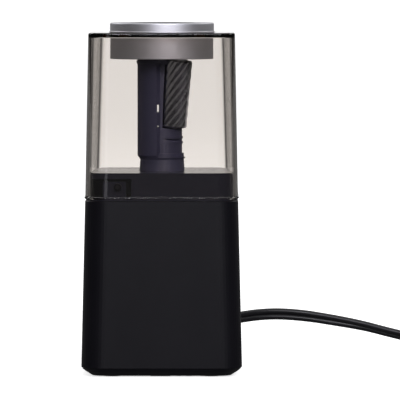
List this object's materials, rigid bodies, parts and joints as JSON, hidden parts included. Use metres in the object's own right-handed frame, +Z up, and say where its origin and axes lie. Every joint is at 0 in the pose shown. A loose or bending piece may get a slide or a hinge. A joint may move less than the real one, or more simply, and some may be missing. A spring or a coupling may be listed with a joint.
{
  "type": "pencil sharpener",
  "caption": "Upright mains pencil sharpener with a black base, a smoky lift-off shavings receptacle, a silver cap with the pencil entry and a helical cutter in a turning carrier.",
  "frame": {"origin": "on the table, under the middle of the housing's square footprint", "axes": "+Z up along the cutter carrier's axis, -Y towards the front face, +X to the right of someone facing it"},
  "size_m": [0.2321, 0.1378, 0.1537],
  "materials": {
    "black_plastic": "moulded black plastic, semi-gloss with a fine texture",
    "foot_rubber": "matt black rubber",
    "bright_steel": "plated steel",
    "brass_parts": "turned brass",
    "gear_nylon": "natural nylon",
    "motor_steel": "zinc-plated steel can",
    "armature_iron": "iron stack",
    "carbon": "carbon brush",
    "button_red": "small red button",
    "board_green": "circuit board",
    "capacitor_sleeve": "shrink sleeve",
    "board_parts": "moulded components",
    "wire_sleeve": "wire insulation",
    "carrier_navy": "dark navy moulded plastic, satin",
    "tool_steel": "blued tool steel",
    "smoke_window": "clear smoky brown plastic",
    "silver_cap": "silver satin finish",
    "cord_vinyl": "soft black vinyl"
  },
  "bodies": {
    "housing": {"base_shell": "black_plastic", "bottom_cover": "black_plastic", "rubber_feet": "foot_rubber", "cover_screws": "bright_steel", "deck": "black_plastic", "deck_bush": "brass_parts", "gearbox_tray": "gear_nylon", "gearbox_cover": "gear_nylon", "gearbox_screws": "bright_steel", "chassis_screws": "bright_steel", "output_bush": "brass_parts", "compound_axle": "bright_steel", "motor_can": "motor_steel", "motor_end_bell": "black_plastic", "motor_magnets": "armature_iron", "motor_bushes": "brass_parts", "motor_screws": "bright_steel", "motor_brushes": "carbon", "return_spring": "bright_steel", "start_switch": "black_plastic", "switch_screws": "bright_steel", "interlock_switch": "black_plastic", "rectifier_board": "board_green", "bridge_rectifier": "board_parts", "capacitor": "capacitor_sleeve", "thermal_fuse": "board_parts", "wiring": "wire_sleeve", "strain_relief": "cord_vinyl", "cord_tube": "cord_vinyl", "cord_coil": "cord_vinyl", "cord_tail": "cord_vinyl", "cord_tie": "cord_vinyl", "plug_body": "cord_vinyl", "plug_blades": "brass_parts"},
    "receptacle": {"receptacle": "smoke_window", "cap": "silver_cap", "ring_gear": "gear_nylon", "ring_screws": "bright_steel", "pencil_guide": "black_plastic"},
    "thrust_seat": {"thrust_seat": "gear_nylon"},
    "carrier": {"carrier": "carrier_navy", "drive_shaft": "bright_steel", "cutter_axle": "bright_steel"},
    "cutter": {"helical_cutter": "tool_steel", "cutter_pinion": "bright_steel", "axle_clip": "bright_steel"},
    "output_gear": {"output_gear": "gear_nylon"},
    "compound_gear": {"compound_gear": "gear_nylon"},
    "motor_rotor": {"motor_shaft": "bright_steel", "motor_armature": "armature_iron", "commutator": "armature_iron", "motor_pinion": "brass_parts"},
    "start_button": {"start_button": "button_red"},
    "interlock_plunger": {"interlock_plunger": "black_plastic"}
  },
  "joints": [
    {"name": "receptacle_lift", "type": "slide", "parent": "housing", "child": "receptacle", "axis": [0, 0, 1], "range_m": [0, 0.08]},
    {"name": "carrier_press", "type": "slide", "parent": "housing", "child": "thrust_seat", "axis": [0, 0, -1], "range_m": [0, 0.0015], "stiffness_N_per_m": 1200, "springref_m": -0.002, "deforming": ["return_spring"]},
    {"name": "carrier_spin", "type": "hinge", "parent": "thrust_seat", "child": "carrier", "pos_m": [0, 0, 0.1], "axis": [0, 0, 1], "continuous": true},
    {"name": "cutter_spin", "type": "hinge", "parent": "carrier", "child": "cutter", "pos_m": [0.00662, -0.00555, 0.12697], "axis": [0.0874, -0.0733, 0.9935], "continuous": true},
    {"name": "output_gear_spin", "type": "hinge", "parent": "housing", "child": "output_gear", "pos_m": [0, 0, 0.0637], "axis": [0, 0, 1], "continuous": true},
    {"name": "compound_gear_spin", "type": "hinge", "parent": "housing", "child": "compound_gear", "pos_m": [0.00094, 0.01798, 0.062], "axis": [0, 0, 1], "continuous": true},
    {"name": "motor_spin", "type": "hinge", "parent": "housing", "child": "motor_rotor", "pos_m": [-0.0142, 0.0142, 0.035], "axis": [0, 0, 1], "continuous": true},
    {"name": "start_button_press", "type": "slide", "parent": "housing", "child": "start_button", "axis": [0, 0, -1], "range_m": [0, 0.0012], "stiffness_N_per_m": 150, "springref_m": -0.002},
    {"name": "interlock_plunger_out", "type": "slide", "parent": "housing", "child": "interlock_plunger", "axis": [0, -1, 0], "range_m": [0, 0.0012], "stiffness_N_per_m": 60, "springref_m": 0.002}
  ],
  "couplings": [
    {"joint": "compound_gear_spin", "follows": "motor_spin", "ratio": -0.3},
    {"joint": "output_gear_spin", "follows": "motor_spin", "ratio": 0.075},
    {"joint": "carrier_spin", "follows": "motor_spin", "ratio": 0.075},
    {"joint": "cutter_spin", "follows": "motor_spin", "ratio": -0.21429},
    {"joint": "start_button_press", "follows": "carrier_press", "ratio": 0.8},
    {"joint": "interlock_plunger_out", "follows": "receptacle_lift", "ratio": 0.015}
  ]
}
